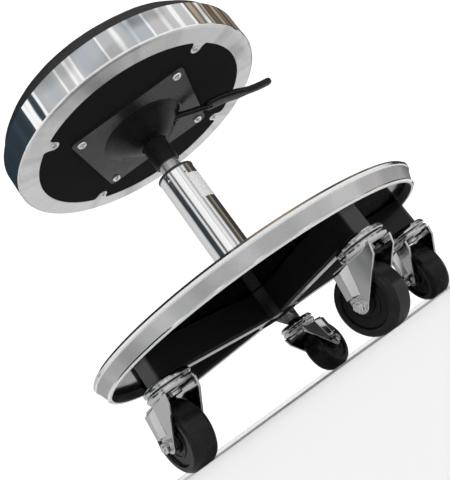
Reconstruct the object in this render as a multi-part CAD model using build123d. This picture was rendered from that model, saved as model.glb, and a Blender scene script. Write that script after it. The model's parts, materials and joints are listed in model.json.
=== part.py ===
from build123d import *
import os

# Rolling stylist stool: round padded seat on a gas lift, standing on a round chrome foot platform that
# hides a five-armed steel star, with a swivel caster under the end of each arm.
# Millimetres. +Z is up. The origin is on the floor, on the axis of the column. Heights in this file
# are counted from a datum that lies DATUM under the floor, and every node is lowered by it when saved.

# --- driving dimensions -------------------------------------------------------------------------
SEAT_RADIUS = 177.8             # outside of the chrome seat ring, a 14 inch seat
PLATFORM_RADIUS = 228.0         # outside of the platform's top bead, an 18 inch platform
WHEEL_RADIUS = 36.0             # 72 mm caster wheels
CASTER_HEIGHT = 95.0            # datum to the underside of the arms
DATUM = 5.0                     # depth of the datum under the floor
AXLE_HEIGHT = WHEEL_RADIUS + DATUM
SEAT_TOP = 473.0                # crown of the cushion with the lift right down

# base
ARM_WIDTH, ARM_HEIGHT, ARM_WALL = 21.0, 38.0, 2.0
ARM_END = 212.0                 # where the tube of an arm stops
CAP_THICKNESS = 3.0             # end cap outside the tube
CAP_SPIGOT = 4.0                # end cap inside the tube
STEM_CIRCLE = 199.0             # radius of the circle of caster stems
ARM_TOP = CASTER_HEIGHT + ARM_HEIGHT
HUB_RADIUS = 29.0
RIM_LOW = 122.0                 # lower rolled edge of the platform's band
RIM_LOW_RADIUS = 220.0
SHEET = 1.6                     # sheet metal of the platform
PLATFORM_TOP = 146.0            # flat top of the platform
PLATFORM_FLAT_RADIUS = 196.0
BOARD_RADIUS = 217.0

# column and gas lift
COLUMN_RADIUS, COLUMN_WALL = 25.0, 1.5
COLUMN_BOTTOM, COLUMN_TOP = 99.0, 318.0
COLLAR_TOP = 321.3
ROD_RADIUS = 5.0
RUNNING = 0.05                  # radial clearance of every running fit
TUBE_RADIUS, TUBE_BORE = 14.0, 12.2
TUBE_BOTTOM, TUBE_TOP = 113.0, 377.0
PIN_RADIUS = 3.75

# seat
SOCKET_RADIUS = 17.0
SOCKET_BOTTOM, SOCKET_TOP = 337.0, 380.0
DOME_BOTTOM, DOME_RADIUS = 371.5, 57.0
RING_BOTTOM, RING_TOP, RING_SHEET = 397.3, 434.0, 1.2
RING_INNER = 151.0
RING_CORNER = 3.4               # height of the ring's rounded foot
CLOTH = 0.6
BOARD_THICKNESS = 12.0
PLATE_SIDE, PLATE_THICKNESS = 165.0, 3.0
PLATE_HOLE_OFFSET = 71.0
PLATE_SCREW_RADIUS = 3.0
TAB_ANGLES = (-132.7, 137.0, 48.0, -41.0)
TAB_SCREW_RADIUS = 141.5
TAB_SCREW_SHANK = 2.0
VINYL = 1.5

# lever, laid out in a vertical plane turned LEVER_ANGLE from +X
LEVER_ANGLE = 12.4
LEVER_Z = 388.8
LEVER_PIVOT = 30.0
LEVER_ROD = 4.0
GRIP_TIP = 5.6                  # radius of the grip's rounded end
PIVOT_RADIUS = 2.5
EAR_BOTTOM = 384.0

# casters, one per arm: angle of the arm and the way the wheel trails
CASTERS = {1: (-130.0, 128.0), 2: (-58.0, 137.0), 3: (14.0, 107.5), 4: (86.0, 56.0), 5: (158.0, 101.6)}
TRAIL = 30.0
WHEEL_HALF = 16.0
WHEEL_BORE = 6.5
STEM_RADIUS = 6.0
AXLE_RADIUS = 4.0
RACE_RADIUS = 27.0
CROWN_BOTTOM, CROWN_TOP = 79.5, 87.2
RACE_GAP = 1.0                  # between the two races of a caster
LEG_GAP = 18.0                  # middle of the fork to the inside of a leg
LEG_SHEET = 2.5
RIB_HEIGHT = 4.6

RING_FLANGE_TOP = RING_BOTTOM + RING_SHEET
SEAT_BOARD_TOP = RING_FLANGE_TOP + BOARD_THICKNESS
CLOTH_BOTTOM = RING_FLANGE_TOP - CLOTH
PLATE_BOTTOM = CLOTH_BOTTOM - PLATE_THICKNESS
VINYL_RADIUS = SEAT_RADIUS - RING_SHEET - 0.2
SEAT_BOARD_RADIUS = VINYL_RADIUS - VINYL


# --- helpers ------------------------------------------------------------------------------------
def save(shape, name):
    """Write one node, as one solid or a group of separate solids."""
    solids = [Pos(0, 0, -DATUM) * solid for solid in shape.solids()]
    placed = solids[0] if len(solids) == 1 else Compound(children=solids)
    placed.label = name
    export_step(placed, f"parts/{name}.step")


def tube(radius, low, high, bore=0.0):
    """Upright cylinder from low to high on the Z axis, bored through if bore is given."""
    height = high - low
    shape = Pos(0, 0, low) * Cylinder(radius, height, align=(Align.CENTER, Align.CENTER, Align.MIN))
    if bore:
        shape -= Pos(0, 0, low - 1) * Cylinder(bore, height + 2, align=(Align.CENTER, Align.CENTER, Align.MIN))
    return shape


def turned(*outline):
    """Solid of revolution about Z from a closed outline of (radius, height) points."""
    return revolve(Plane.XZ * make_face(Polyline(*outline, close=True)), Axis.Z)


def pressed(path, sheet):
    """Sheet metal turned about Z, of even thickness along a path in (radius, height)."""
    return revolve(Plane.XZ * trace(path, sheet), Axis.Z)


def on_arm(shape, angle):
    """Turn a shape made on the +X arm to its own angle."""
    return Rot(0, 0, angle) * shape


def four_corners(offset):
    return [(x, y) for x in (-offset, offset) for y in (-offset, offset)]


def group(shapes):
    """Separate solids kept apart in one node."""
    return Compound(children=[solid for shape in shapes for solid in shape.solids()])


# --- base ---------------------------------------------------------------------------------------
def platform_cover():
    """Chrome sheet: flat top, sloping shoulder, double bead, tapered band and rolled lower edge."""
    half = SHEET / 2
    top = PLATFORM_TOP - half
    outline = Polyline(
        (HUB_RADIUS - 2.0, top),
        (PLATFORM_FLAT_RADIUS, top),
        (219.0, top - 2.4),
        (222.0, top - 1.2),
        (225.5, top - 0.6),
        (PLATFORM_RADIUS - half, top - 2.6),
        (PLATFORM_RADIUS - half - 0.6, top - 4.6),
        (225.4, top - 5.6),
        (RIM_LOW_RADIUS - half + 0.6, RIM_LOW + 3.6),
        (RIM_LOW_RADIUS - half + 1.2, RIM_LOW + 2.0),
        (RIM_LOW_RADIUS - half, RIM_LOW + half),
        (RIM_LOW_RADIUS - 3.2, RIM_LOW + half + 0.4),
    )
    return pressed(outline, SHEET)


def platform_board():
    """Lacquered board under the cover; its top face meets the cover's sheet."""
    under = PLATFORM_TOP - SHEET
    shoulder = under - 2.4 * (BOARD_RADIUS - PLATFORM_FLAT_RADIUS) / (219.0 - PLATFORM_FLAT_RADIUS)
    body = turned(
        (HUB_RADIUS - 2.0, ARM_TOP),
        (BOARD_RADIUS, ARM_TOP),
        (BOARD_RADIUS, shoulder - 0.2),
        (PLATFORM_FLAT_RADIUS - 1.0, under),
        (HUB_RADIUS - 2.0, under),
    )
    return body


def base_hub():
    """Welded hub that grips the foot of the column."""
    return chamfered_tube(HUB_RADIUS, CASTER_HEIGHT, ARM_TOP, COLUMN_RADIUS)


def chamfered_tube(radius, low, high, bore):
    body = tube(radius, low, high, bore)
    rim = body.edges().filter_by(GeomType.CIRCLE).filter_by(lambda e: e.radius > radius - 0.1)
    return chamfer(rim, 1.0)


def arm():
    """Rectangular tube on +X with a threaded socket for the caster stem."""
    start = HUB_RADIUS - 3.0
    length = ARM_END - start
    middle = Pos(start + length / 2, 0, CASTER_HEIGHT + ARM_HEIGHT / 2)
    outside = Box(length, ARM_WIDTH, ARM_HEIGHT)
    outside = fillet(outside.edges().filter_by(Axis.X), 3.0)
    inside = Box(length + 2, ARM_WIDTH - 2 * ARM_WALL, ARM_HEIGHT - 2 * ARM_WALL)
    inside = fillet(inside.edges().filter_by(Axis.X), 1.2)
    body = middle * (outside - inside)
    body -= tube(HUB_RADIUS, CASTER_HEIGHT - 1, ARM_TOP + 1)
    body += Pos(STEM_CIRCLE, 0, 0) * tube(8.0, CASTER_HEIGHT + 1, CASTER_HEIGHT + 26)
    body -= Pos(STEM_CIRCLE, 0, 0) * tube(STEM_RADIUS, CASTER_HEIGHT - 1, CASTER_HEIGHT + 27)
    return body


def arm_cap():
    """Moulded plug that closes the end of an arm."""
    middle_z = CASTER_HEIGHT + ARM_HEIGHT / 2
    face = Pos(ARM_END + CAP_THICKNESS / 2, 0, middle_z) * Box(CAP_THICKNESS, ARM_WIDTH, ARM_HEIGHT)
    face = fillet(face.edges().filter_by(Axis.X), 3.0)
    face = chamfer(face.faces().sort_by(Axis.X)[-1].edges(), 0.8)
    spigot_width = ARM_WIDTH - 2 * ARM_WALL - 0.2
    spigot_height = ARM_HEIGHT - 2 * ARM_WALL - 0.2
    spigot = Pos(ARM_END - CAP_SPIGOT / 2, 0, middle_z) * Box(CAP_SPIGOT, spigot_width, spigot_height)
    return face + fillet(spigot.edges().filter_by(Axis.X), 1.2)


def column_tube():
    """Chrome outer tube of the lift: closed foot with a hole for the rod, two crimps near the top."""
    body = tube(COLUMN_RADIUS, COLUMN_BOTTOM, COLUMN_TOP)
    body -= tube(COLUMN_RADIUS - COLUMN_WALL, COLUMN_BOTTOM + 3, COLUMN_TOP + 1)
    body -= tube(ROD_RADIUS + 1.0, COLUMN_BOTTOM - 1, COLUMN_BOTTOM + 4)
    for angle in (-62.0, -118.0):
        dimple = Pos(COLUMN_RADIUS + 1.9, 0, COLUMN_TOP - 9) * Sphere(2.6)
        body -= Rot(0, 0, angle) * dimple
    return body


def guide_bush():
    """Plastic bush in the top of the column, with a collar that caps its rim."""
    body = tube(COLUMN_RADIUS - COLUMN_WALL, 258.0, COLUMN_TOP, TUBE_RADIUS + RUNNING)
    collar = tube(COLUMN_RADIUS + 0.8, COLUMN_TOP, COLLAR_TOP, TUBE_RADIUS + RUNNING)
    rim = collar.edges().filter_by(GeomType.CIRCLE).filter_by(lambda e: e.radius > COLUMN_RADIUS)
    return body + fillet(rim, 1.2)


def blank_label():
    """Plain sticker wrapped on the column."""
    sheet = tube(COLUMN_RADIUS + 0.2, 266.0, 304.0, COLUMN_RADIUS)
    wedge = Polyline((0, 0), (28, -60), (70, -40), (60, 6), close=True)
    return sheet & (Pos(0, 0, 250) * extrude(make_face(wedge), 70))


# --- gas lift -----------------------------------------------------------------------------------
def piston_rod():
    """Rod that stands on the thrust bearing and carries the piston."""
    body = tube(ROD_RADIUS, 95.5, 262.0)
    body += tube(9.0, 107.8, 110.0)
    body += tube(TUBE_BORE - RUNNING, 256.0, 266.0)
    return body


def pressure_tube():
    """Silver cylinder that slides up the column: end plug below, valve seat above."""
    body = tube(TUBE_RADIUS, TUBE_BOTTOM, TUBE_TOP)
    body -= tube(TUBE_BORE, TUBE_BOTTOM + 8, TUBE_TOP - 12)
    body -= tube(ROD_RADIUS + RUNNING, TUBE_BOTTOM - 1, TUBE_BOTTOM + 9)
    body -= tube(PIN_RADIUS + RUNNING, TUBE_TOP - 13, TUBE_TOP + 1)
    return body


def release_pin():
    """Valve pin that the lever pushes down."""
    pin = tube(PIN_RADIUS, TUBE_TOP - 24, 384.3)
    return chamfer(pin.faces().sort_by(Axis.Z)[-1].edges(), 0.6)


# --- seat ---------------------------------------------------------------------------------------
def socket_tube():
    return chamfered_tube(SOCKET_RADIUS, SOCKET_BOTTOM, SOCKET_TOP, TUBE_RADIUS)


def lever_place():
    return Rot(0, 0, LEVER_ANGLE)


def dome_housing():
    """Pressed dome between the socket and the plate, slotted for the lever."""
    path = Polyline(
        (SOCKET_RADIUS + 1.1, DOME_BOTTOM),
        (SOCKET_RADIUS + 4.0, DOME_BOTTOM + 0.8),
        (28.0, DOME_BOTTOM + 4.2),
        (36.0, DOME_BOTTOM + 9.5),
        (44.0, DOME_BOTTOM + 15.5),
        (50.0, DOME_BOTTOM + 19.8),
        (DOME_RADIUS, PLATE_BOTTOM - 0.6),
        (DOME_RADIUS + 2.0, PLATE_BOTTOM + 0.6),
    )
    body = pressed(path, 2.2)
    body &= tube(90.0, DOME_BOTTOM - 5, PLATE_BOTTOM)
    body -= tube(SOCKET_RADIUS, DOME_BOTTOM - 6, SOCKET_TOP)
    slot = Pos(52.0, 0, PLATE_BOTTOM - 8.0) * Box(30.0, 15.0, 16.1)
    return body - lever_place() * slot


def mounting_plate():
    """Square steel plate under the seat board."""
    middle = PLATE_BOTTOM + PLATE_THICKNESS / 2
    plate = Pos(0, 0, middle) * Box(PLATE_SIDE, PLATE_SIDE, PLATE_THICKNESS)
    plate = fillet(plate.edges().filter_by(Axis.Z), 7.0)
    for x, y in four_corners(PLATE_HOLE_OFFSET):
        plate -= Pos(x, y, 0) * tube(PLATE_SCREW_RADIUS, PLATE_BOTTOM - 1, PLATE_BOTTOM + 5)
    return plate


def plate_screws():
    """Button-head screws with hexagon sockets."""
    head_height = 3.4
    low = PLATE_BOTTOM - head_height
    head = turned((0, low), (3.6, low), (5.4, low + 0.8), (6.4, low + 2.4), (6.4, PLATE_BOTTOM), (0, PLATE_BOTTOM))
    head -= Pos(0, 0, low - 0.1) * extrude(RegularPolygon(2.1, 6), 2.1)
    screw = head + tube(PLATE_SCREW_RADIUS, PLATE_BOTTOM, SEAT_BOARD_TOP)
    return group([Pos(x, y, 0) * screw for x, y in four_corners(PLATE_HOLE_OFFSET)])


def tee_nut(grow=0.0):
    barrel = tube(4.5 + grow, SEAT_BOARD_TOP - 9, SEAT_BOARD_TOP)
    return barrel + tube(9.0 + grow, SEAT_BOARD_TOP - 1.2, SEAT_BOARD_TOP)


def tee_nuts():
    nut = tee_nut() - tube(PLATE_SCREW_RADIUS, RING_BOTTOM, SEAT_BOARD_TOP + 1)
    return group([Pos(x, y, 0) * nut for x, y in four_corners(PLATE_HOLE_OFFSET)])


def at_tabs(shape):
    return [Rot(0, 0, angle) * Pos(TAB_SCREW_RADIUS, 0, 0) * shape for angle in TAB_ANGLES]


def cut_screw_holes(body):
    """Take out the plate screws and the ring screws."""
    for x, y in four_corners(PLATE_HOLE_OFFSET):
        body -= Pos(x, y, 0) * tube(PLATE_SCREW_RADIUS, PLATE_BOTTOM, SEAT_BOARD_TOP + 1)
    for hole in at_tabs(tube(TAB_SCREW_SHANK, RING_BOTTOM, RING_BOTTOM + 11.0)):
        body -= hole
    return body


def seat_board():
    """Plywood disc that everything on the seat is screwed to."""
    disc = tube(SEAT_BOARD_RADIUS, RING_FLANGE_TOP, SEAT_BOARD_TOP)
    disc = chamfer(disc.faces().sort_by(Axis.Z)[0].edges(), RING_CORNER - 1.0)
    body = cut_screw_holes(disc)
    for x, y in four_corners(PLATE_HOLE_OFFSET):
        body -= Pos(x, y, 0) * tee_nut()
    return body


def seat_ring():
    """Chrome ring: upright band with a rounded foot, inward flange and scalloped screw tabs."""
    half = RING_SHEET / 2
    wall = SEAT_RADIUS - half
    band = Polyline(
        (wall, RING_TOP),
        (wall, RING_BOTTOM + RING_CORNER),
        (wall - 0.9, RING_BOTTOM + 1.6),
        (wall - 2.7, RING_BOTTOM + half),
        (RING_INNER, RING_BOTTOM + half),
    )
    body = pressed(band, RING_SHEET)
    tab = Pos(TAB_SCREW_RADIUS, 0, 0) * tube(7.5, RING_BOTTOM, RING_FLANGE_TOP)
    tab += Pos(RING_INNER - 1, 0, RING_BOTTOM + half) * Box(12.0, 32.0, RING_SHEET)
    for side in (-1, 1):
        tab -= Pos(RING_INNER - 7, side * 16.0, 0) * tube(8.0, RING_BOTTOM - 1, RING_FLANGE_TOP + 1)
    tab -= Pos(TAB_SCREW_RADIUS, 0, 0) * tube(TAB_SCREW_SHANK, RING_BOTTOM - 1, RING_FLANGE_TOP + 1)
    for angle in TAB_ANGLES:
        body += on_arm(tab, angle)
    return body


def dust_cover(ring):
    """Black cloth stretched under the board, inside the ring."""
    return cut_screw_holes(tube(RING_INNER + 4, CLOTH_BOTTOM, RING_FLANGE_TOP)) - ring


def ring_screws():
    """Pan-head cross-slot screws through the ring's tabs."""
    low = RING_BOTTOM - 2.2
    head = turned((0, low), (2.4, low), (3.7, low + 0.8), (4.2, low + 2.2), (0, low + 2.2))
    for angle in (0, 90):
        head -= Rot(0, 0, angle) * Pos(0, 0, low) * Box(4.6, 0.9, 2.0)
    return group(at_tabs(head + tube(TAB_SCREW_SHANK, RING_BOTTOM, RING_BOTTOM + 11.0)))


def cushion_form(inset):
    """Crowned cushion from the ring's flange up, made smaller by inset all round."""
    radius = VINYL_RADIUS - inset
    top = SEAT_TOP - inset
    shoulder = top - 29.0
    crown = ThreePointArc((0, top), (radius * 0.5, top - 2.6), (radius - 21.0, top - 10.0))
    edge = TangentArc(crown @ 1, (radius, shoulder), tangent=crown % 1)
    foot = (radius - RING_CORNER, RING_FLANGE_TOP)
    base = Polyline((radius, shoulder), (radius, RING_FLANGE_TOP + RING_CORNER), foot, (0, RING_FLANGE_TOP), (0, top))
    return revolve(Plane.XZ * make_face([crown, edge, base]), Axis.Z)


def seat_foam():
    return cushion_form(VINYL) - tube(200.0, 390.0, SEAT_BOARD_TOP)


def seat_vinyl(foam):
    return cushion_form(0.0) - foam - tube(SEAT_BOARD_RADIUS, 390.0, SEAT_BOARD_TOP)


# --- lever --------------------------------------------------------------------------------------
def plain_rod():
    """The lever's rod: level over the valve pin, then bent down outside the dome."""
    path = Plane.XZ * FilletPolyline((-3.0, LEVER_Z), (49.0, LEVER_Z), (96.0, LEVER_Z - 11.6), radius=14.0)
    return sweep(Plane(origin=path @ 0, z_dir=path % 0) * Circle(LEVER_ROD), path)


def lever_rod():
    """Bent steel rod with a cross boss for its pivot."""
    boss = Pos(LEVER_PIVOT, 0, LEVER_Z) * Rot(90, 0, 0) * Cylinder(5.4, 8.0)
    hole = Pos(LEVER_PIVOT, 0, LEVER_Z) * Rot(90, 0, 0) * Cylinder(PIVOT_RADIUS + RUNNING, 12.0)
    return lever_place() * (plain_rod() + boss - hole)


def lever_grip():
    """Flat paddle on the end of the rod, bent level again towards a rounded tip."""
    upper = Spline((86.0, LEVER_Z - 7.4), (112.0, LEVER_Z - 12.6), (146.0, LEVER_Z - 17.6), (186.0, LEVER_Z - 24.0))
    body = extrude(Plane.XZ * trace(upper, 6.4), 12.0, both=True)
    tip = 184.0 - GRIP_TIP
    outline = Polyline((87.0, -6.5), (96.0, -9.5), (132.0, -9.5), (150.0, -7.0), (tip, -GRIP_TIP),
                       (tip, GRIP_TIP), (150.0, 7.0), (132.0, 9.5), (96.0, 9.5), (87.0, 6.5), close=True)
    plan = make_face(outline) + Pos(tip, 0) * Circle(GRIP_TIP)
    body &= Pos(0, 0, LEVER_Z - 60) * extrude(plan, 80)
    return lever_place() * (body - plain_rod())


def lever_bracket():
    """Two ears that hang from the plate and hold the pivot."""
    ears = []
    for side in (-1, 1):
        ear = Pos(LEVER_PIVOT, side * 6.0, (PLATE_BOTTOM + EAR_BOTTOM) / 2) * Box(11.0, 2.0, PLATE_BOTTOM - EAR_BOTTOM)
        ears.append(lever_place() * (ear - pivot_pin_at_arm()))
    return group(ears)


def pivot_pin_at_arm():
    return Pos(LEVER_PIVOT, 0, LEVER_Z) * Rot(90, 0, 0) * Cylinder(PIVOT_RADIUS, 18.0)


def lever_pivot():
    return lever_place() * pivot_pin_at_arm()


# --- casters, made at the origin with the wheel trailing along +X -----------------------------------
def caster_stem():
    """Threaded stem with its rivet head, shoulder and the fixed upper race."""
    body = tube(STEM_RADIUS, CROWN_BOTTOM - 3.0, CASTER_HEIGHT + 24)
    body += tube(9.0, CROWN_BOTTOM - 3.3, CROWN_BOTTOM - 0.3)
    body += tube(11.0, CROWN_TOP + 0.3, CASTER_HEIGHT)
    low = CROWN_TOP + RACE_GAP
    body += turned((10.0, low), (25.6, low), (RACE_RADIUS, low + 1.2), (RACE_RADIUS, low + 3.0),
                   (26.2, low + 4.8), (24.0, CASTER_HEIGHT), (10.0, CASTER_HEIGHT))
    return body


def fork():
    """Pressed fork: lower race, crown and two ribbed legs that taper to the axle."""
    body = turned((0, CROWN_BOTTOM), (22.5, CROWN_BOTTOM), (25.4, CROWN_BOTTOM + 1.6),
                  (RACE_RADIUS, CROWN_BOTTOM + 4.0), (RACE_RADIUS, CROWN_TOP - 1.6), (25.4, CROWN_TOP), (0, CROWN_TOP))
    outline = Polyline((-21.0, CROWN_BOTTOM + 1.5), (34.0, CROWN_BOTTOM + 1.5), (TRAIL + 8.9, AXLE_HEIGHT + 2.0),
                       (TRAIL, AXLE_HEIGHT), (TRAIL - 7.4, AXLE_HEIGHT - 5.0), (-4.0, 59.0), (-17.0, 70.0), close=True)
    leg_face = make_face(outline) + Pos(TRAIL, AXLE_HEIGHT) * Circle(9.0)
    rib_foot = make_face(Polyline((12.0, 79.5), (33.6, 79.5), (38.0, 49.2), (22.0, 49.2), close=True))
    rib_crest = make_face(Polyline((24.0, 77.0), (32.6, 77.0), (36.8, 51.4), (28.4, 51.4), close=True))
    for side in (-1, 1):
        inner = Plane(origin=(0, side * LEG_GAP, 0), x_dir=(1, 0, 0), z_dir=(0, side, 0))
        foot = inner.offset(LEG_SHEET - 0.5) * flipped(rib_foot, side)
        crest = inner.offset(LEG_SHEET + RIB_HEIGHT) * flipped(rib_crest, side)
        body += extrude(inner * flipped(leg_face, side), LEG_SHEET) + loft([foot, crest])
    body -= tube(STEM_RADIUS + RUNNING, CROWN_BOTTOM - 1, CROWN_TOP + 1)
    body -= Pos(TRAIL, 0, AXLE_HEIGHT) * Rot(90, 0, 0) * Cylinder(AXLE_RADIUS, 60.0)
    return body


def flipped(face, side):
    """A face drawn in (x, height), mirrored so that either leg's plane shows it upright."""
    return mirror(face, Plane.XZ) if side > 0 else face


def axle():
    """Axle bolt with a hexagon head, a lock nut and a washer under each."""
    reach = LEG_GAP + LEG_SHEET
    body = Cylinder(AXLE_RADIUS, 2 * reach)
    for side in (-1, 1):
        outward = Rot(0 if side > 0 else 180, 0, 0)
        body += outward * Pos(0, 0, reach) * Cylinder(6.6, 1.2, align=(Align.CENTER, Align.CENTER, Align.MIN))
        hexagon = Pos(0, 0, reach + 1.2) * extrude(RegularPolygon(6.4, 6), 5.0)
        body += outward * chamfer(hexagon.faces().sort_by(Axis.Z)[-1].edges(), 0.7)
        body += outward * Pos(0, 0, reach + 6.2) * Cylinder(3.2, 2.2, align=(Align.CENTER, Align.CENTER, Align.MIN))
    return Pos(TRAIL, 0, AXLE_HEIGHT) * Rot(90, 0, 0) * body


def wheel_bush():
    """Steel sleeve pressed in the wheel, running on the axle."""
    body = Cylinder(WHEEL_BORE, 2 * (LEG_GAP - 0.4)) - Cylinder(AXLE_RADIUS + RUNNING, 60.0)
    return Pos(TRAIL, 0, AXLE_HEIGHT) * Rot(90, 0, 0) * body


def wheel():
    """Hard rubber wheel: rounded tread, ringed and dished faces, raised boss."""
    side = [(WHEEL_BORE, WHEEL_HALF), (11.0, WHEEL_HALF), (11.8, WHEEL_HALF - 3.0), (15.5, WHEEL_HALF - 3.0),
            (16.0, WHEEL_HALF - 2.2), (17.0, WHEEL_HALF - 2.2), (17.5, WHEEL_HALF - 3.2), (25.5, WHEEL_HALF - 3.2),
            (27.0, WHEEL_HALF - 0.6), (31.5, WHEEL_HALF - 0.6), (34.1, WHEEL_HALF - 2.4),
            (WHEEL_RADIUS, WHEEL_HALF - 5.6)]
    outline = side + [(radius, -height) for radius, height in reversed(side)]
    return Pos(TRAIL, 0, AXLE_HEIGHT) * Rot(90, 0, 0) * turned(*outline)


# --- build every node ---------------------------------------------------------------------------
os.makedirs("parts", exist_ok=True)

save(platform_cover(), "platform_cover")
save(platform_board(), "platform_board")
save(base_hub(), "base_hub")
save(column_tube(), "column_tube")
save(guide_bush(), "guide_bush")
save(blank_label(), "blank_label")
save(tube(16.0, COLUMN_BOTTOM + 3, 106.0, 7.0), "thrust_bearing")
save(tube(15.0, 106.0, 107.5, 6.0), "thrust_washer")
save(piston_rod(), "piston_rod")
save(tube(8.0, 96.5, 98.0, ROD_RADIUS), "retaining_clip")
save(pressure_tube(), "pressure_tube")
save(release_pin(), "release_pin")

save(socket_tube(), "socket_tube")
save(dome_housing(), "dome_housing")
save(mounting_plate(), "mounting_plate")
save(plate_screws(), "plate_screws")
save(tee_nuts(), "tee_nuts")
save(seat_board(), "seat_board")
chrome_ring = seat_ring()
save(dust_cover(chrome_ring), "dust_cover")
save(chrome_ring, "seat_ring")
save(ring_screws(), "ring_screws")
foam = seat_foam()
save(seat_vinyl(foam), "seat_vinyl")
save(foam, "seat_foam")
save(lever_bracket(), "lever_bracket")
save(lever_pivot(), "lever_pivot")
save(lever_rod(), "lever_rod")
save(lever_grip(), "lever_grip")

save(group([on_arm(arm_cap(), arm_angle) for arm_angle, _ in CASTERS.values()]), "arm_caps")
for number, (arm_angle, trail_angle) in CASTERS.items():
    save(on_arm(arm(), arm_angle), f"base_arm_{number}")
    stem = Rot(0, 0, arm_angle) * Pos(STEM_CIRCLE, 0, 0)
    save(stem * caster_stem(), f"caster_stem_{number}")
    turn = stem * Rot(0, 0, trail_angle - arm_angle)
    save(turn * fork(), f"caster_fork_{number}")
    save(turn * axle(), f"caster_axle_{number}")
    save(turn * wheel_bush(), f"wheel_bush_{number}")
    save(turn * wheel(), f"wheel_{number}")
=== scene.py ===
import json
import math
import bmesh
import bpy
from mathutils import Matrix, Vector, noise


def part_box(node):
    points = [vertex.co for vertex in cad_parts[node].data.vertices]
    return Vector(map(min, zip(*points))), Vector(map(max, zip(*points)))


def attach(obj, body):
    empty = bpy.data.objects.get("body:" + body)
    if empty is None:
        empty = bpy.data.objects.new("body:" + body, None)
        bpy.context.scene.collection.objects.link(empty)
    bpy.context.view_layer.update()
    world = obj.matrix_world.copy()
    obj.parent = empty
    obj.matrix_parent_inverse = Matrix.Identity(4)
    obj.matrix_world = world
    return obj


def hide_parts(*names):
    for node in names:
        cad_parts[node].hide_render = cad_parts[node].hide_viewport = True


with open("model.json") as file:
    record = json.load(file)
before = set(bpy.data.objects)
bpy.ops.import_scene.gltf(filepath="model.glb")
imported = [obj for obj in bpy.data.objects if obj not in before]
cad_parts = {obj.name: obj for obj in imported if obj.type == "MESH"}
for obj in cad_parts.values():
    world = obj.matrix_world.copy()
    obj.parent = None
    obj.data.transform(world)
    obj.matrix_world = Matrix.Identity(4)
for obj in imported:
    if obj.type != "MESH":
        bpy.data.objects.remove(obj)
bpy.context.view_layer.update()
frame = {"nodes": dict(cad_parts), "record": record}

# Rolling stylist stool. Metres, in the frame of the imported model: +Z up, origin on the floor under
# the column.

MM = 0.001
CASTERS = (1, 2, 3, 4, 5)


# --- where things are, read from the frame ---------------------------------------------------------
def corners(node):
    low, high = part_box(node)
    return Vector(low), Vector(high)


def joint_named(name):
    for joint in frame["record"]["behaviour"]["joints"]:
        if joint["name"] == name:
            return joint
    raise KeyError(name)


ring_low, ring_high = corners("seat_ring")
vinyl_low, vinyl_high = corners("seat_vinyl")
cover_low, cover_high = corners("platform_cover")
board_high = corners("seat_board")[1]
VINYL_RADIUS = (vinyl_high.x - vinyl_low.x) / 2
SEAT_TOP = vinyl_high.z


# --- node helpers -----------------------------------------------------------------------------------
class Nodes:
    """A small wrapper that adds and links shader nodes of one material."""

    def __init__(self, tree):
        self.tree = tree

    def add(self, kind, **inputs):
        node = self.tree.nodes.new(kind)
        for name, value in inputs.items():
            self.put(node, name.replace("_", " "), value)
        return node

    def put(self, node, name, value):
        socket = node.inputs[name]
        if isinstance(value, bpy.types.NodeSocket):
            self.tree.links.new(value, socket)
        else:
            socket.default_value = value

    def object_place(self, scale=(1.0, 1.0, 1.0)):
        mapping = self.add("ShaderNodeMapping", Scale=scale)
        self.tree.links.new(self.add("ShaderNodeTexCoord").outputs["Object"], mapping.inputs["Vector"])
        return mapping.outputs["Vector"]

    def noise(self, place, scale, detail=4.0, rough=0.55):
        node = self.add("ShaderNodeTexNoise", Vector=place, Scale=scale, Detail=detail, Roughness=rough)
        return node.outputs["Fac"]

    def span(self, value, low, high, start, end):
        node = self.add("ShaderNodeMapRange", Value=value)
        self.put(node, "From Min", low)
        self.put(node, "From Max", high)
        self.put(node, "To Min", start)
        self.put(node, "To Max", end)
        return node.outputs["Result"]

    def math(self, operation, first, second=0.0):
        node = self.add("ShaderNodeMath")
        node.operation = operation
        for socket, value in zip(node.inputs, (first, second)):
            if isinstance(value, bpy.types.NodeSocket):
                self.tree.links.new(value, socket)
            else:
                socket.default_value = value
        return node.outputs["Value"]

    def blend(self, factor, dark, light):
        node = self.add("ShaderNodeMix")
        node.data_type = "RGBA"
        self.tree.links.new(factor, node.inputs["Factor"])
        for socket, value in ((node.inputs["A"], dark), (node.inputs["B"], light)):
            if isinstance(value, bpy.types.NodeSocket):
                self.tree.links.new(value, socket)
            else:
                socket.default_value = value
        return node.outputs["Result"]

    def multiply(self, first, second):
        node = self.add("ShaderNodeMix")
        node.data_type = "RGBA"
        node.blend_type = "MULTIPLY"
        node.inputs["Factor"].default_value = 1.0
        self.tree.links.new(first, node.inputs["A"])
        self.tree.links.new(second, node.inputs["B"])
        return node.outputs["Result"]

    def ramp(self, factor, stops):
        """Colour ramp with a stop for each (place, grey level, warmth); the warmth may be left out."""
        node = self.add("ShaderNodeValToRGB", Fac=factor)
        elements = node.color_ramp.elements
        while len(elements) < len(stops):
            elements.new(0.5)
        for element, (place, *tone) in zip(elements, stops):
            element.position = place
            element.color = grey(*tone)
        return node.outputs["Color"]

    def bump(self, height, strength, distance, under=None):
        node = self.add("ShaderNodeBump", Height=height, Strength=strength, Distance=distance)
        if under is not None:
            self.tree.links.new(under, node.inputs["Normal"])
        return node.outputs["Normal"]


def grey(level, warm=0.0):
    """A grey, turned to brown by a positive warmth and to blue by a negative one."""
    return (level * (1 + warm), level, level * (1 - warm), 1.0)


def material(name, base=None, **constants):
    """A new principled material; constants go straight on the shader's sockets."""
    made = bpy.data.materials.new(name)
    made.use_nodes = True
    tree = made.node_tree
    shader = tree.nodes["Principled BSDF"]
    if base is not None:
        shader.inputs["Base Color"].default_value = base
    for key, value in constants.items():
        shader.inputs[key.replace("_", " ")].default_value = value
    return made, Nodes(tree), shader


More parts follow.
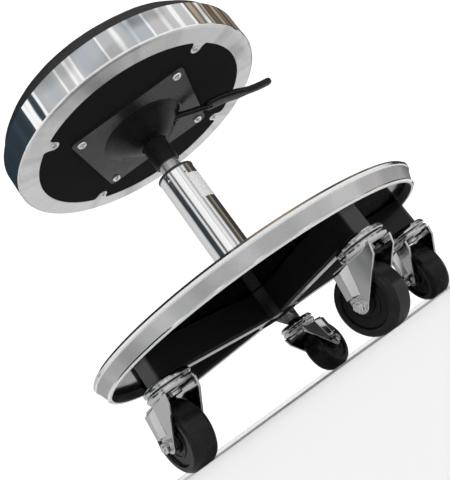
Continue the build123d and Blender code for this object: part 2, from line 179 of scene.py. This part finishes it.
def link(nodes, value, shader, socket):
    nodes.tree.links.new(value, shader.inputs[socket])


def edge_wear(nodes, low=0.515, high=0.56):
    """1 on worn convex edges, 0 elsewhere."""
    geometry = nodes.add("ShaderNodeNewGeometry")
    return nodes.span(geometry.outputs["Pointiness"], low, high, 0.0, 1.0)


# --- materials --------------------------------------------------------------------------------------
EDGE_ROUND = 1.2 * MM            # rounding that plated edges are shaded with


def chrome_material(name, dull, bright):
    """Bright plate: faint haze, fine scratches, softened edges and the ripple of the sheet under it."""
    made, nodes, shader = material(name, grey(bright, -0.01), Metallic=1.0)
    place = nodes.object_place()
    haze = nodes.noise(place, 35.0, 6.0)
    scratch = nodes.noise(nodes.object_place((1.0, 1.0, 9.0)), 420.0, 3.0)
    smear = nodes.math("MULTIPLY", haze, scratch)
    link(nodes, nodes.span(smear, 0.1, 0.45, 0.035, 0.13), shader, "Roughness")
    ripple = nodes.noise(place, 14.0, 2.0)
    rounded = nodes.add("ShaderNodeBevel")
    rounded.samples = 6
    rounded.inputs["Radius"].default_value = EDGE_ROUND
    soft = nodes.bump(ripple, 0.12, 0.004, rounded.outputs["Normal"])
    link(nodes, nodes.bump(scratch, 0.03, 0.0003, soft), shader, "Normal")
    link(nodes, nodes.blend(haze, grey(dull), grey(bright)), shader, "Base Color")
    return made


def around_axis(nodes):
    """Angle about the Z axis, distance from it and height: a place for turned or rolled finishes."""
    split = nodes.add("ShaderNodeSeparateXYZ", Vector=nodes.object_place())
    angle = nodes.math("ARCTAN2", split.outputs["Y"], split.outputs["X"])
    squares = [nodes.math("POWER", split.outputs[axis], 2.0) for axis in "XY"]
    return angle, nodes.math("SQRT", nodes.math("ADD", *squares)), split.outputs["Z"]


def brushed_height(nodes, along, across, along_scale, across_scale):
    """Long fine lines: stretched noise that runs with `along`."""
    joined = nodes.add("ShaderNodeCombineXYZ", X=nodes.math("MULTIPLY", along, along_scale),
                       Y=nodes.math("MULTIPLY", across, across_scale))
    return nodes.noise(joined.outputs["Vector"], 1.0, 5.0, 0.7)


def painted_reflection_fan(nodes, angle, scale, low, high):
    """0 to 1 in broad soft rays about the Z axis: the mask for painted reflection streaks."""
    place = nodes.add("ShaderNodeCombineXYZ", X=nodes.math("MULTIPLY", angle, scale))
    return nodes.span(nodes.noise(place.outputs["Vector"], 1.0, 2.0), low, high, 0.0, 1.0)


BEAD_LOW = 3.0 * MM              # height of the lower bead of the platform's rim
BEAD_HIGH = 6.5 * MM             # height of the upper bead
SATIN_TOP = 0.200                # radius of the satin flat of the platform's top


def platform_material():
    """Chrome sheet: the sloping band is brushed round the rim, the beads polished and the top satin;
    broad painted reflection streaks darken the band's colour.
    """
    made, nodes, shader = material("platform_chrome", grey(0.86), Metallic=1.0)
    angle, radius, height = around_axis(nodes)
    lines = brushed_height(nodes, angle, height, 5.0, 2600.0)
    low, high = cover_low.z + BEAD_LOW, cover_high.z - BEAD_HIGH
    above = nodes.span(height, low, low + 1.0 * MM, 0.0, 1.0)
    below = nodes.span(height, high, high - 1.0 * MM, 0.0, 1.0)
    band = nodes.math("MULTIPLY", above, below)
    facing = nodes.add("ShaderNodeVectorMath")
    facing.operation = "DOT_PRODUCT"
    nodes.tree.links.new(nodes.add("ShaderNodeTexCoord").outputs["Normal"], facing.inputs[0])
    nodes.tree.links.new(nodes.object_place((1.0, 1.0, 0.0)), facing.inputs[1])
    outside = nodes.span(facing.outputs["Value"], -0.01, 0.01, 0.0, 1.0)
    inside = nodes.math("SUBTRACT", 1.0, outside)
    band = nodes.math("MULTIPLY", band, outside)
    haze = nodes.span(nodes.noise(nodes.object_place(), 26.0, 5.0), 0.3, 0.7, 0.05, 0.11)
    brushed = nodes.span(lines, 0.3, 0.7, 0.24, 0.42)
    rough = nodes.math("ADD", nodes.math("MULTIPLY", band, nodes.math("SUBTRACT", brushed, haze)), haze)
    under_top = nodes.span(height, cover_high.z - 4 * MM, cover_high.z - 6 * MM, 0.0, 0.45)
    raw = nodes.math("MULTIPLY", inside, under_top)
    satin_top = nodes.span(radius, SATIN_TOP + 4 * MM, SATIN_TOP, 0.0, 0.34)
    link(nodes, nodes.math("MAXIMUM", rough, nodes.math("MAXIMUM", raw, satin_top)), shader, "Roughness")
    link(nodes, nodes.bump(nodes.math("MULTIPLY", lines, band), 0.25, 0.0006), shader, "Normal")
    # painted reflection: broad rays by angle darken the brushed band's colour
    painted_streaks = painted_reflection_fan(nodes, angle, 2.4, 0.35, 0.6)
    tone = nodes.blend(painted_streaks, grey(0.34), nodes.blend(lines, grey(0.50), grey(0.66)))
    link(nodes, nodes.blend(band, grey(0.86), tone), shader, "Base Color")
    return made


RING_PILLOWS = 38.0              # soft waves round the side of the seat ring


def ring_material():
    """Seat ring: mirror-bright side with soft waves, satin brushed underside with broad painted
    reflection rays.
    """
    made, nodes, shader = material("ring_chrome", grey(0.88), Metallic=1.0)
    angle, radius, height = around_axis(nodes)
    under = nodes.span(height, ring_low.z + 2.6 * MM, ring_low.z + 1.4 * MM, 0.0, 1.0)
    lines = brushed_height(nodes, angle, radius, 9.0, 1500.0)
    cloud = nodes.noise(nodes.object_place(), 30.0, 5.0)
    satin = nodes.span(cloud, 0.3, 0.7, 0.26, 0.38)
    polish = nodes.span(cloud, 0.3, 0.7, 0.02, 0.06)
    rougher = nodes.math("MULTIPLY", under, nodes.math("SUBTRACT", satin, polish))
    link(nodes, nodes.math("ADD", rougher, polish), shader, "Roughness")
    pillow = nodes.math("COSINE", nodes.math("MULTIPLY", angle, RING_PILLOWS))
    drift = nodes.noise(nodes.object_place(), 16.0, 1.0)
    wave = nodes.math("ADD", nodes.math("MULTIPLY", pillow, 0.30), drift)
    side = nodes.math("SUBTRACT", 1.0, under)
    soft = nodes.bump(nodes.math("MULTIPLY", wave, side), 0.4, 0.004)
    link(nodes, nodes.bump(nodes.math("MULTIPLY", lines, under), 0.08, 0.0004, soft), shader, "Normal")
    tone = nodes.blend(cloud, grey(0.84), grey(0.92))
    # painted reflection: broad rays by angle darken the satin underside's colour
    painted_streaks = painted_reflection_fan(nodes, angle, 3.2, 0.32, 0.5)
    satin_tone = nodes.blend(painted_streaks, grey(0.42), nodes.blend(lines, grey(0.60), grey(0.74)))
    link(nodes, nodes.blend(under, tone, satin_tone), shader, "Base Color")
    return made


def lacquer_material():
    """Deep black gloss lacquer with faint orange peel and dust."""
    made, nodes, shader = material("board_lacquer", grey(0.004))
    shader.inputs["Specular IOR Level"].default_value = 0.16
    place = nodes.object_place()
    dust = nodes.noise(place, 900.0, 2.0)
    link(nodes, nodes.span(nodes.noise(place, 40.0), 0.3, 0.7, 0.05, 0.14), shader, "Roughness")
    dusted = nodes.span(dust, 0.62, 0.8, 0.0, 0.5)
    link(nodes, nodes.blend(dusted, grey(0.003), grey(0.012)), shader, "Base Color")
    link(nodes, nodes.bump(nodes.noise(place, 160.0, 2.0), 0.05, 0.001), shader, "Normal")
    return made


def powder_material(name, level, low, high, shine=0.5):
    """Powder coat: orange peel, cloudy gloss and a touch of wear on the edges."""
    made, nodes, shader = material(name, grey(level))
    shader.inputs["Specular IOR Level"].default_value = shine
    place = nodes.object_place()
    peel = nodes.noise(place, 700.0, 3.0)
    cloud = nodes.noise(place, 24.0, 4.0)
    link(nodes, nodes.span(cloud, 0.3, 0.7, low, high), shader, "Roughness")
    link(nodes, nodes.bump(peel, 0.16, 0.0004), shader, "Normal")
    colour = nodes.blend(cloud, grey(level * 0.75), grey(level * 1.3))
    worn = edge_wear(nodes, 0.53, 0.6)
    link(nodes, nodes.blend(worn, colour, grey(level * 3.0)), shader, "Base Color")
    return made


def plastic_material():
    """Moulded black plastic with a fine spark-eroded grain."""
    made, nodes, shader = material("black_plastic", grey(0.04))
    place = nodes.object_place()
    grain = nodes.add("ShaderNodeTexVoronoi", Vector=place, Scale=1500.0).outputs["Distance"]
    link(nodes, nodes.bump(grain, 0.22, 0.0003), shader, "Normal")
    cloud = nodes.noise(place, 60.0)
    link(nodes, nodes.span(cloud, 0.3, 0.7, 0.36, 0.5), shader, "Roughness")
    link(nodes, nodes.blend(cloud, grey(0.024), grey(0.036)), shader, "Base Color")
    return made


def gloss_plastic_material():
    """Lever grip: semi-gloss black with handling scuffs."""
    made, nodes, shader = material("grip_black", grey(0.015))
    shader.inputs["Specular IOR Level"].default_value = 0.25
    place = nodes.object_place()
    scuff = nodes.noise(nodes.object_place((1.0, 5.0, 5.0)), 90.0, 6.0)
    link(nodes, nodes.span(scuff, 0.35, 0.7, 0.2, 0.4), shader, "Roughness")
    link(nodes, nodes.bump(nodes.noise(place, 500.0), 0.08, 0.0004), shader, "Normal")
    link(nodes, nodes.blend(scuff, grey(0.004), grey(0.010)), shader, "Base Color")
    return made


def rubber_material():
    """Hard black rubber: semi-gloss, dusted and scuffed on the rolling face."""
    made, nodes, shader = material("wheel_rubber", grey(0.01))
    shader.inputs["Specular IOR Level"].default_value = 0.22
    place = nodes.object_place()
    dust = nodes.noise(place, 110.0, 7.0, 0.65)
    fine = nodes.noise(place, 900.0, 3.0)
    worn = edge_wear(nodes, 0.5, 0.56)
    link(nodes, nodes.span(dust, 0.3, 0.7, 0.12, 0.26), shader, "Roughness")
    colour = nodes.blend(nodes.span(dust, 0.45, 0.8, 0.0, 1.0), grey(0.003), grey(0.008))
    scuffed = nodes.math("MULTIPLY", worn, dust)
    link(nodes, nodes.blend(scuffed, colour, grey(0.02)), shader, "Base Color")
    link(nodes, nodes.bump(fine, 0.14, 0.0003), shader, "Normal")
    return made


def vinyl_material():
    """Upholstery vinyl: pebbled leather grain, soft sheen, painted shade in the creases."""
    made, nodes, shader = material("seat_vinyl", grey(0.018), Coat_Weight=0.08, Coat_Roughness=0.3)
    place = nodes.object_place()
    warp = nodes.add("ShaderNodeTexNoise", Vector=place, Scale=220.0, Detail=2.0)
    bent = nodes.add("ShaderNodeVectorMath")
    bent.operation = "MULTIPLY_ADD"
    nodes.tree.links.new(warp.outputs["Color"], bent.inputs[0])
    bent.inputs[1].default_value = (0.0016, 0.0016, 0.0016)
    nodes.tree.links.new(place, bent.inputs[2])
    pebble = nodes.add("ShaderNodeTexVoronoi", Vector=bent.outputs["Vector"], Scale=620.0)
    pebble.feature = "DISTANCE_TO_EDGE"
    crease = nodes.span(pebble.outputs["Distance"], 0.0, 0.16, 0.0, 1.0)
    cloud = nodes.noise(place, 18.0, 4.0)
    height = nodes.math("ADD", crease, nodes.math("MULTIPLY", nodes.noise(place, 1400.0, 2.0), 0.25))
    link(nodes, nodes.bump(height, 0.5, 0.00035), shader, "Normal")
    face = nodes.blend(cloud, grey(0.014), grey(0.024))
    # painted shade: the grain's creases are darkened in the colour
    link(nodes, nodes.blend(crease, grey(0.006), face), shader, "Base Color")
    link(nodes, nodes.span(cloud, 0.3, 0.7, 0.38, 0.5), shader, "Roughness")
    return made


def cloth_material():
    """Non-woven dust cloth: matted fibres with a point-bonded pattern."""
    made, nodes, shader = material("dust_cloth", grey(0.012), Roughness=0.95, Sheen_Weight=0.03,
                                   Sheen_Roughness=0.5)
    shader.inputs["Specular IOR Level"].default_value = 0.05
    place = nodes.object_place()
    fibre = nodes.noise(nodes.object_place((1.0, 3.0, 1.0)), 900.0, 5.0, 0.7)
    bond = nodes.add("ShaderNodeTexVoronoi", Vector=place, Scale=420.0, Randomness=0.1)
    height = nodes.math("ADD", fibre, nodes.math("MULTIPLY", bond.outputs["Distance"], 0.8))
    link(nodes, nodes.bump(height, 0.6, 0.0005), shader, "Normal")
    link(nodes, nodes.blend(fibre, grey(0.003), grey(0.010)), shader, "Base Color")
    return made


def steel_material():
    """Ground steel with turning marks and a thin oily bloom."""
    made, nodes, shader = material("ground_steel", grey(0.55), Metallic=1.0)
    angle, _, height = around_axis(nodes)
    lines = brushed_height(nodes, angle, height, 3.0, 4200.0)
    bloom = nodes.noise(nodes.object_place(), 60.0)
    link(nodes, nodes.span(lines, 0.3, 0.7, 0.16, 0.34), shader, "Roughness")
    link(nodes, nodes.bump(lines, 0.15, 0.0003), shader, "Normal")
    link(nodes, nodes.blend(bloom, grey(0.52), grey(0.70)), shader, "Base Color")
    return made


def zinc_material():
    """Bright zinc on the fasteners, slightly mottled."""
    made, nodes, shader = material("bright_zinc", grey(0.7), Metallic=1.0)
    place = nodes.object_place()
    mottle = nodes.noise(place, 380.0, 6.0)
    link(nodes, nodes.span(mottle, 0.3, 0.7, 0.14, 0.32), shader, "Roughness")
    link(nodes, nodes.bump(mottle, 0.12, 0.0003), shader, "Normal")
    link(nodes, nodes.blend(mottle, grey(0.62, 0.01), grey(0.82, 0.0)), shader, "Base Color")
    return made


def sticker_material():
    """Blank paper sticker under a clear film."""
    made, nodes, shader = material("sticker_paper", grey(0.8), Coat_Weight=0.3, Coat_Roughness=0.12)
    fibre = nodes.noise(nodes.object_place(), 300.0, 6.0)
    link(nodes, nodes.blend(fibre, grey(0.76), grey(0.86)), shader, "Base Color")
    link(nodes, nodes.span(fibre, 0.3, 0.7, 0.35, 0.5), shader, "Roughness")
    link(nodes, nodes.bump(fibre, 0.05, 0.0003), shader, "Normal")
    return made


def plywood_material():
    """Birch plywood: plies on the edge, long grain on the faces."""
    made, nodes, shader = material("plywood", (0.55, 0.38, 0.22, 1.0), Roughness=0.6)
    grain = nodes.noise(nodes.object_place((1.0, 14.0, 1.0)), 18.0, 6.0)
    plies = nodes.add("ShaderNodeTexWave", Vector=nodes.object_place((0.0, 0.0, 1.0)), Scale=110.0)
    tone = nodes.blend(grain, (0.48, 0.31, 0.17, 1.0), (0.66, 0.47, 0.29, 1.0))
    ply = nodes.math("MULTIPLY", plies.outputs["Fac"], 0.35)
    link(nodes, nodes.blend(ply, tone, (0.3, 0.18, 0.09, 1.0)), shader, "Base Color")
    link(nodes, nodes.bump(grain, 0.1, 0.0005), shader, "Normal")
    return made


def foam_material():
    """Open-cell foam, only there under the cover."""
    made, nodes, shader = material("foam", (0.75, 0.68, 0.48, 1.0), Roughness=0.9)
    foam_cells = nodes.add("ShaderNodeTexVoronoi", Vector=nodes.object_place(), Scale=700.0)
    cell = foam_cells.outputs["Distance"]
    link(nodes, nodes.bump(cell, 0.6, 0.0006), shader, "Normal")
    link(nodes, nodes.blend(cell, (0.55, 0.48, 0.3, 1.0), (0.8, 0.73, 0.52, 1.0)), shader, "Base Color")
    return made


def floor_material():
    made, nodes, shader = material("pale_floor", grey(0.88), Roughness=0.9)
    cloud = nodes.noise(nodes.object_place(), 3.0)
    link(nodes, nodes.blend(cloud, grey(0.88), grey(0.90)), shader, "Base Color")
    shader.inputs["Specular IOR Level"].default_value = 0.0
    return made


chrome = chrome_material("chrome", 0.80, 0.90)
plated = chrome_material("caster_plate", 0.50, 0.68)
platform_chrome = platform_material()
ring_chrome = ring_material()
lacquer = lacquer_material()
powder = powder_material("black_powder", 0.006, 0.22, 0.36, 0.20)
gloss_arm = powder_material("arm_gloss", 0.004, 0.10, 0.20, 0.25)
plastic = plastic_material()
grip_black = gloss_plastic_material()
rubber = rubber_material()
vinyl = vinyl_material()
cloth = cloth_material()
steel = steel_material()
zinc = zinc_material()
sticker = sticker_material()
plywood = plywood_material()
foam = foam_material()

FINISHES = {
    "platform_cover": platform_chrome, "column_tube": chrome, "seat_ring": ring_chrome,
    "platform_board": lacquer, "base_hub": gloss_arm, "arm_caps": plastic, "guide_bush": plastic,
    "blank_label": sticker, "thrust_bearing": steel, "thrust_washer": steel, "piston_rod": steel,
    "retaining_clip": zinc, "pressure_tube": steel, "release_pin": steel, "socket_tube": powder,
    "dome_housing": powder, "mounting_plate": powder, "plate_screws": zinc, "tee_nuts": zinc,
    "seat_board": plywood, "dust_cover": cloth, "ring_screws": zinc, "seat_vinyl": vinyl,
    "seat_foam": foam, "lever_bracket": powder, "lever_pivot": steel, "lever_rod": grip_black,
    "lever_grip": grip_black,
}
for number in CASTERS:
    FINISHES[f"base_arm_{number}"] = gloss_arm
    FINISHES[f"caster_stem_{number}"] = plated
    FINISHES[f"caster_fork_{number}"] = plated
    FINISHES[f"caster_axle_{number}"] = zinc
    FINISHES[f"wheel_bush_{number}"] = steel
    FINISHES[f"wheel_{number}"] = rubber


def finish_nodes():
    for name, made in FINISHES.items():
        slots = frame["nodes"][name].material_slots
        for slot in slots:
            slot.material = made


# --- mesh helpers -----------------------------------------------------------------------------------
def piece_from(name, vertices, faces, made, smooth=True):
    mesh = bpy.data.meshes.new(name)
    mesh.from_pydata(vertices, [], faces)
    mesh.update()
    piece = bpy.data.objects.new(name, mesh)
    bpy.context.scene.collection.objects.link(piece)
    mesh.materials.append(made)
    if smooth:
        mesh.polygons.foreach_set("use_smooth", [True] * len(mesh.polygons))
    return piece


def lathed(name, profile, made, steps=96):
    """Closed form turned about Z from a profile of (radius, height) that starts and ends on the axis."""
    inner = profile[1:-1]
    vertices = [(0.0, 0.0, profile[0][1])]
    for step in range(steps):
        turn = 2 * math.pi * step / steps
        across, along = math.cos(turn), math.sin(turn)
        vertices += [(radius * across, radius * along, height) for radius, height in inner]
    vertices.append((0.0, 0.0, profile[-1][1]))
    count, last = len(inner), len(vertices) - 1
    faces = []
    for step in range(steps):
        here, there = 1 + step * count, 1 + (step + 1) % steps * count
        faces.append((0, there, here))
        faces += [(here + k, there + k, there + k + 1, here + k + 1) for k in range(count - 1)]
        faces.append((last, here + count - 1, there + count - 1))
    piece = piece_from(name, vertices, faces, made)
    work = bmesh.new()
    work.from_mesh(piece.data)
    bmesh.ops.recalc_face_normals(work, faces=work.faces)
    work.to_mesh(piece.data)
    work.free()
    return piece


def apply_modifiers(piece):
    bpy.context.view_layer.update()
    evaluated = piece.evaluated_get(bpy.context.evaluated_depsgraph_get())
    mesh = bpy.data.meshes.new_from_object(evaluated)
    piece.modifiers.clear()
    piece.data = mesh


# --- the cushion ------------------------------------------------------------------------------------
CUSHION_STEPS = 16
CUSHION_CAP = 2.0 * MM           # furthest that a point of the cover may swell
CUSHION_VOXEL = 5.5 * MM
SHOULDER = 24.0 * MM             # radius of the cushion's shoulder
SEAM_DROP = 21.0 * MM            # the seam lies this far under the crown


def cushion():
    """Crowned round pad: swollen by pressure, tucked into the ring, with a seam round its shoulder."""
    foot = board_high.z + 0.4 * MM
    radius, top = VINYL_RADIUS - 0.2 * MM, SEAT_TOP
    profile = [(0.0, top - 4.0 * MM)]
    for share in (0.2, 0.4, 0.55, 0.68, 0.78, 0.86):
        profile.append((radius * share, top - (4.0 + 9.0 * share ** 3) * MM))
    for turn in range(10, 90, 16):
        corner = math.radians(turn)
        out = radius - 26 * MM + SHOULDER * math.sin(corner)
        profile.append((out, top - 36 * MM + SHOULDER * math.cos(corner)))
    for height in (ring_high.z, ring_high.z - 12 * MM, foot + 2 * MM):
        profile.append((radius - 2.0 * MM, height))
    profile += [(radius - 6 * MM, foot), (radius * 0.6, foot), (0.0, foot)]
    pad = lathed("cushion_cover", profile, vinyl, 128)
    remesh = pad.modifiers.new("even", "REMESH")
    remesh.mode = "VOXEL"
    remesh.voxel_size = CUSHION_VOXEL
    apply_modifiers(pad)
    swell(pad, ring_high.z)
    finish_cover(pad, foot, radius, top)
    return pad


def swell(pad, hold_below):
    """Blow the cover up with cloth pressure, holding what the ring grips."""
    rest = [vertex.co.copy() for vertex in pad.data.vertices]
    held = pad.vertex_groups.new(name="held")
    held.add([vertex.index for vertex in pad.data.vertices if vertex.co.z < hold_below], 1.0, "REPLACE")
    cover = pad.modifiers.new("cover", "CLOTH")
    cover.settings.use_pressure = True
    cover.settings.uniform_pressure_force = 7.0
    cover.settings.shrink_min = -0.005
    cover.settings.vertex_group_mass = "held"
    cover.settings.effector_weights.gravity = 0.0
    cover.settings.bending_stiffness = 0.6
    scene = bpy.context.scene
    for step in range(1, CUSHION_STEPS + 1):
        scene.frame_set(step)
    apply_modifiers(pad)
    scene.frame_set(1)
    for vertex, start in zip(pad.data.vertices, rest):
        moved = vertex.co - start
        if moved.length > CUSHION_CAP:
            vertex.co = start + moved.normalized() * CUSHION_CAP


def finish_cover(pad, foot, radius, top):
    """Smooth the swollen cover, pull in the gathers over the ring and keep it inside the ring's bore."""
    fine = pad.modifiers.new("fine", "SUBSURF")
    fine.levels = 1
    fine.render_levels = 1
    apply_modifiers(pad)
    seam_height = top - SEAM_DROP
    for vertex in pad.data.vertices:
        flat = Vector((vertex.co.x, vertex.co.y))
        out = flat.length
        if out < 1e-5:
            continue
        turn = math.atan2(flat.y, flat.x)
        side = min(max((out - radius * 0.80) / (radius * 0.20), 0.0), 1.0)
        tuck = math.exp(-((vertex.co.z - ring_high.z - 4 * MM) / (9 * MM)) ** 2)
        gather = noise.noise(Vector((math.cos(turn) * 9, math.sin(turn) * 9, vertex.co.z * 30)))
        lift = side * tuck * 0.9 * MM * gather
        seam = side * math.exp(-((vertex.co.z - seam_height) / (1.6 * MM)) ** 2)
        lift -= 1.1 * MM * seam
        limit = radius if vertex.co.z < ring_high.z + 2 * MM else radius + 1.2 * MM
        new_out = min(out + lift, limit)
        vertex.co.x *= new_out / out
        vertex.co.y *= new_out / out
        soft = noise.noise(Vector((vertex.co.x * 14, vertex.co.y * 14, 0.3)))
        if vertex.co.z > seam_height:
            vertex.co.z = min(vertex.co.z + 0.8 * MM * soft, top)
        vertex.co.z = max(vertex.co.z, foot)
    pad.data.polygons.foreach_set("use_smooth", [True] * len(pad.data.polygons))
    pad.data.update()


def add_cushion():
    pad = cushion()
    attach(pad, "seat")
    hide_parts("seat_vinyl", "seat_foam")


# --- the lever's grip -----------------------------------------------------------------------------
def lever_frame():
    """Middle of the lever's pivot and the level direction that the lever points in."""
    joint = joint_named("lever_lift")
    pivot = Vector(joint["pos_m"])
    along = Vector((pivot.x, pivot.y, 0.0)).normalized()
    return along, Vector((-along.y, along.x, 0.0)), pivot.z


GRIP_START = 87.0 * MM           # along the lever, where the paddle begins
GRIP_DROP = (-9.0 * MM, -24.4 * MM)    # height of its two ends against the pivot
GRIP_NECK = 6.2                  # half widths in millimetres: at the rod, gained, and lost to the tip
GRIP_SWELL = 4.6
GRIP_TAPER = 4.4
GRIP_THICK = 4.6                 # half thickness at the rod, and what it loses
GRIP_THINNER = 0.6
GRIP_CORNER = 0.62               # 1 would make the section an ellipse, less makes it squarer
GRIP_STATIONS = 56
GRIP_SIDES = 28


def grip():
    """Moulded paddle: round where it meets the rod, broad in the middle, with a rounded tip."""
    along, across, level = lever_frame()
    high = corners("lever_grip")[1]
    reach = Vector((high.x, high.y, 0.0)).dot(along) - 1.0 * MM
    vertices, faces = [], []
    for station in range(GRIP_STATIONS + 1):
        share = station / GRIP_STATIONS
        place = GRIP_START + (reach - GRIP_START) * (1 - (1 - share) ** 1.25)
        run = (place - GRIP_START) / (reach - GRIP_START)
        sag = GRIP_DROP[0] + (GRIP_DROP[1] - GRIP_DROP[0]) * (run - 0.10 * math.sin(2 * math.pi * run))
        open_up = min(run / 0.09, 1.0)
        narrow = min(max((run - 0.46) / 0.2, 0.0), 1.0)
        narrow = narrow * narrow * (3 - 2 * narrow)
        half_width = (GRIP_NECK + GRIP_SWELL * math.sin(open_up * math.pi / 2) - GRIP_TAPER * narrow) * MM
        half_thick = (GRIP_THICK - GRIP_THINNER * open_up) * MM
        end = max((run - 0.945) / 0.055, 0.0)
        close = math.sqrt(max(1.0 - end * end, 0.0004))
        begin = math.sqrt(min(run / 0.012, 1.0)) if run < 0.012 else 1.0
        half_width *= close * (0.80 + 0.20 * begin)
        half_thick *= math.sqrt(close) * (0.80 + 0.20 * begin)
        for turn in range(GRIP_SIDES):
            angle = 2 * math.pi * turn / GRIP_SIDES
            side = math.copysign(abs(math.cos(angle)) ** GRIP_CORNER, math.cos(angle))
            up = math.copysign(abs(math.sin(angle)) ** GRIP_CORNER, math.sin(angle))
            point = along * place + across * (side * half_width)
            vertices.append((point.x, point.y, level + sag + up * half_thick))
    for station in range(GRIP_STATIONS):
        for turn in range(GRIP_SIDES):
            here, there = station * GRIP_SIDES, (station + 1) * GRIP_SIDES
            step = (turn + 1) % GRIP_SIDES
            faces.append((here + turn, there + turn, there + step, here + step))
    faces.append(tuple(range(GRIP_SIDES)))
    faces.append(tuple(GRIP_STATIONS * GRIP_SIDES + turn for turn in reversed(range(GRIP_SIDES))))
    paddle = piece_from("grip_paddle", vertices, faces, grip_black)
    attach(paddle, "lever")
    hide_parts("lever_grip")


# --- studio -----------------------------------------------------------------------------------------
FLOOR_REACH = 5.0

# Lamps: name, place, height aimed at over the column, size and power.
LAMPS = (
    ("key", (-1.6, -1.8, 2.2), 0.25, (3.2, 2.4), 58.0),
    ("fill", (1.9, -1.2, 1.0), 0.25, (2.4, 2.6), 30.0),
    ("back", (0.6, 2.2, 1.8), 0.20, (3.2, 2.0), 38.0),
)

# The surround that the chrome mirrors, as stops of (place, grey level, warmth). The places of the first
# run from straight down to straight up, those of the panels once round from -X by -Y.
SURROUND_STRENGTH = 1.15
BY_HEIGHT = (
    (0.0, 0.6), (0.50, 0.8), (0.60, 0.95), (0.70, 0.95), (0.765, 1.0),
    (0.785, 0.45), (0.80, 0.40), (0.82, 1.0), (1.0, 0.6),
)
LOW_PANELS = (
    (0.0, 0.6), (0.03, 0.5), (0.04, 0.04, -0.2), (0.125, 0.05, -0.2), (0.14, 0.7),
    (0.165, 0.8), (0.175, 0.12), (0.20, 0.15), (0.21, 0.9), (0.30, 1.0),
    (0.31, 0.5), (0.33, 0.95), (0.37, 0.6), (0.39, 0.2), (0.41, 0.85),
    (0.44, 0.7), (0.455, 0.05), (0.50, 0.10), (0.53, 0.3, 0.3), (0.55, 0.05),
    (0.74, 0.03), (0.76, 0.5), (1.0, 0.7),
)
HIGH_PANELS = (
    (0.0, 0.04, -0.3), (0.060, 0.06, -0.25), (0.068, 0.9), (0.085, 0.95), (0.10, 0.45, -0.08),
    (0.17, 0.5), (0.185, 1.0), (0.20, 0.5), (0.27, 0.45, -0.08), (0.285, 1.0),
    (0.30, 0.5), (0.38, 0.45, -0.08), (0.40, 1.0), (0.42, 0.5), (0.49, 0.55),
    (0.50, 0.9), (0.52, 0.9), (0.54, 0.06), (0.57, 0.4, 0.25), (0.60, 0.05),
    (0.64, 0.2, 0.3), (0.67, 0.05), (0.72, 0.35, 0.1), (0.77, 0.08), (0.80, 0.03, -0.25),
    (1.0, 0.04, -0.3),
)
PANEL_CHANGE = (0.36, 0.42)      # upward part of a direction where the low panels give way to the high


def floor():
    reach = FLOOR_REACH
    square = [(-reach, -reach, 0), (reach, -reach, 0), (reach, reach, 0), (-reach, reach, 0)]
    ground = piece_from("floor", square, [(0, 1, 2, 3)], floor_material(), smooth=False)


def soft_light(name, place, aim_height, size, power):
    """Wide lamp that lights the stool but isn't mirrored in it."""
    data = bpy.data.lights.new(name, "AREA")
    data.shape = "RECTANGLE"
    data.size, data.size_y = size
    data.energy = power
    lamp = bpy.data.objects.new(name, data)
    bpy.context.scene.collection.objects.link(lamp)
    lamp.location = place
    aim = Vector((0, 0, aim_height)) - Vector(place)
    lamp.rotation_euler = aim.to_track_quat("-Z", "Y").to_euler()
    lamp.visible_glossy = False


def studio():
    """White surround to the eye; bright and dark panels for the chrome to mirror."""
    world = bpy.data.worlds.new("studio")
    bpy.context.scene.world = world
    world.use_nodes = True
    nodes = Nodes(world.node_tree)
    background = world.node_tree.nodes["Background"]
    direction = nodes.add("ShaderNodeTexCoord").outputs["Generated"]
    split = nodes.add("ShaderNodeSeparateXYZ", Vector=direction)
    upward = split.outputs["Z"]
    by_height = nodes.ramp(nodes.span(upward, -1.0, 1.0, 0.0, 1.0), BY_HEIGHT)
    turn = nodes.math("ARCTAN2", split.outputs["Y"], split.outputs["X"])
    around = nodes.span(turn, -math.pi, math.pi, 0.0, 1.0)
    low_panels = nodes.ramp(around, LOW_PANELS)
    high_panels = nodes.ramp(around, HIGH_PANELS)
    panels = nodes.blend(nodes.span(upward, *PANEL_CHANGE, 0.0, 1.0), low_panels, high_panels)
    seen = nodes.add("ShaderNodeLightPath").outputs["Is Camera Ray"]
    link(nodes, nodes.blend(seen, nodes.multiply(by_height, panels), grey(1.0)), background, "Color")
    background.inputs["Strength"].default_value = SURROUND_STRENGTH
    bpy.context.scene.view_settings.view_transform = "Standard"
    for lamp in LAMPS:
        soft_light(*lamp)


# --- camera -----------------------------------------------------------------------------------------
CAMERA_PLACE = (0.0016, -0.8197, 0.0060)
CAMERA_RAISED = 13.725           # degrees that the lens looks up
CAMERA_ROLL = -36.016            # degrees that the frame is turned
CAMERA_LENS = 50.67


def camera():
    data = bpy.data.cameras.new("camera")
    data.lens = CAMERA_LENS
    data.sensor_width = 36.0
    data.clip_start = 0.01
    eye = bpy.data.objects.new("camera", data)
    bpy.context.scene.collection.objects.link(eye)
    tilt = Matrix.Rotation(math.radians(90 + CAMERA_RAISED), 4, "X")
    roll = Matrix.Rotation(math.radians(CAMERA_ROLL), 4, "Z")
    eye.matrix_world = Matrix.Translation(CAMERA_PLACE) @ tilt @ roll
    bpy.context.scene.camera = eye


camera()
studio()
floor()
finish_nodes()
add_cushion()
grip()
